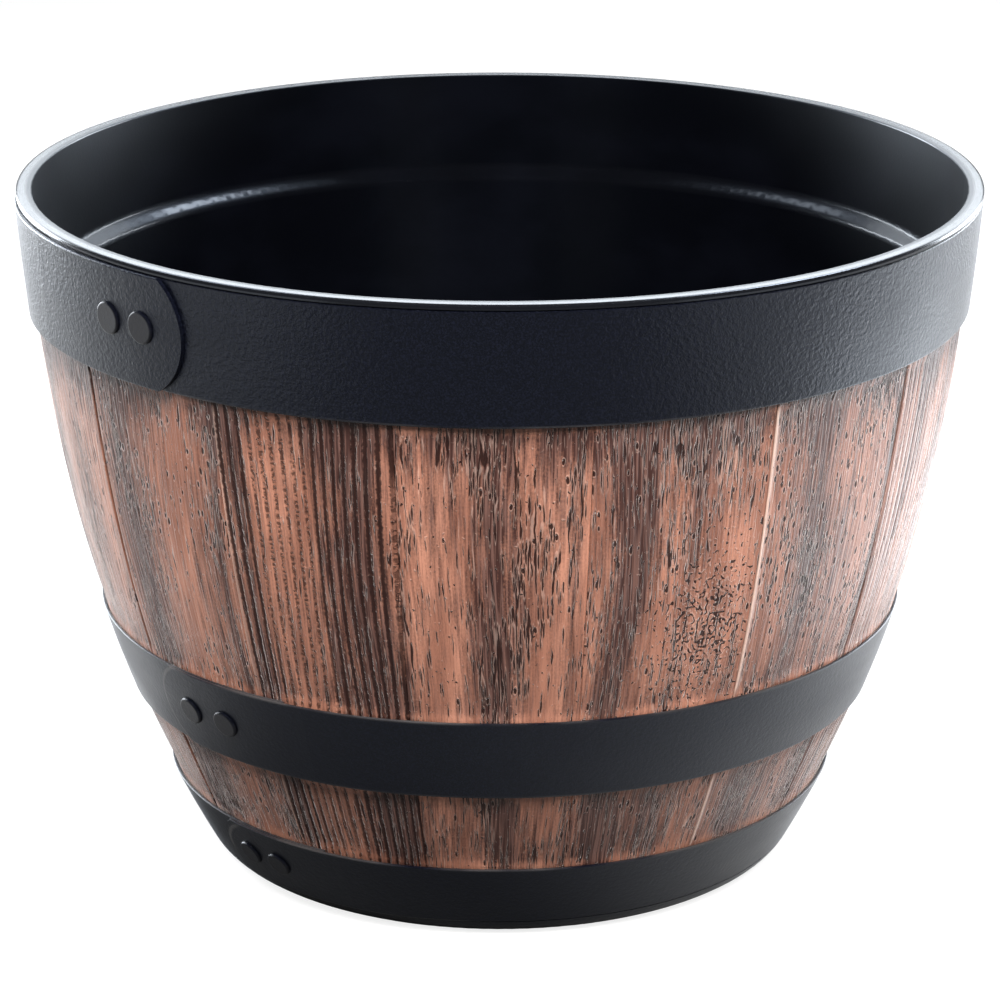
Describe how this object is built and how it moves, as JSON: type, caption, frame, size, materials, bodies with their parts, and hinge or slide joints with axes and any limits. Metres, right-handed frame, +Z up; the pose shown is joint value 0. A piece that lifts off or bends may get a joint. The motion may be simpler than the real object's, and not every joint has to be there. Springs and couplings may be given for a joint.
{
  "type": "barrel planter",
  "caption": "Round half-barrel planter: wood-look staves held by black riveted hoops round a lift-out liner pot with a rounded lip and a drain plug.",
  "frame": {"origin": "on the floor, on the barrel's axis, under the middle of the foot rim", "axes": "+Z up along the barrel's axis; the front, the side that the picture was taken from, faces -Y; +X is right when seen from the front"},
  "size_m": [0.3, 0.3, 0.216],
  "materials": {
    "stave": "moulded resin with an embossed wood grain, copper brown under a dark brown glaze",
    "head": "plain black moulded resin",
    "hoop": "charcoal black with a fine pebbled moulded texture, satin",
    "rivet": "charcoal black, satin",
    "liner": "smooth satin black, a little glossier on the lip",
    "plug": "matt black soft rubber"
  },
  "bodies": {
    "barrel": {"stave_01": "stave", "stave_02": "stave", "stave_03": "stave", "stave_04": "stave", "stave_05": "stave", "stave_06": "stave", "stave_07": "stave", "stave_08": "stave", "stave_09": "stave", "stave_10": "stave", "stave_11": "stave", "stave_12": "stave", "stave_13": "stave", "stave_14": "stave", "stave_15": "stave", "stave_16": "stave", "bottom_head": "head", "top_hoop": "hoop", "middle_hoop": "hoop", "base_hoop": "hoop", "top_hoop_rivets": "rivet", "middle_hoop_rivets": "rivet", "base_hoop_rivets": "rivet"},
    "liner": {"liner_pot": "liner"},
    "plug": {"drain_plug": "plug"}
  },
  "joints": [
    {"name": "liner_lift", "type": "slide", "parent": "barrel", "child": "liner", "axis": [0, 0, 1], "range_m": [0, 0.22]},
    {"name": "plug_pull", "type": "slide", "parent": "liner", "child": "plug", "axis": [0, 0, 1], "range_m": [0, 0.03]}
  ]
}
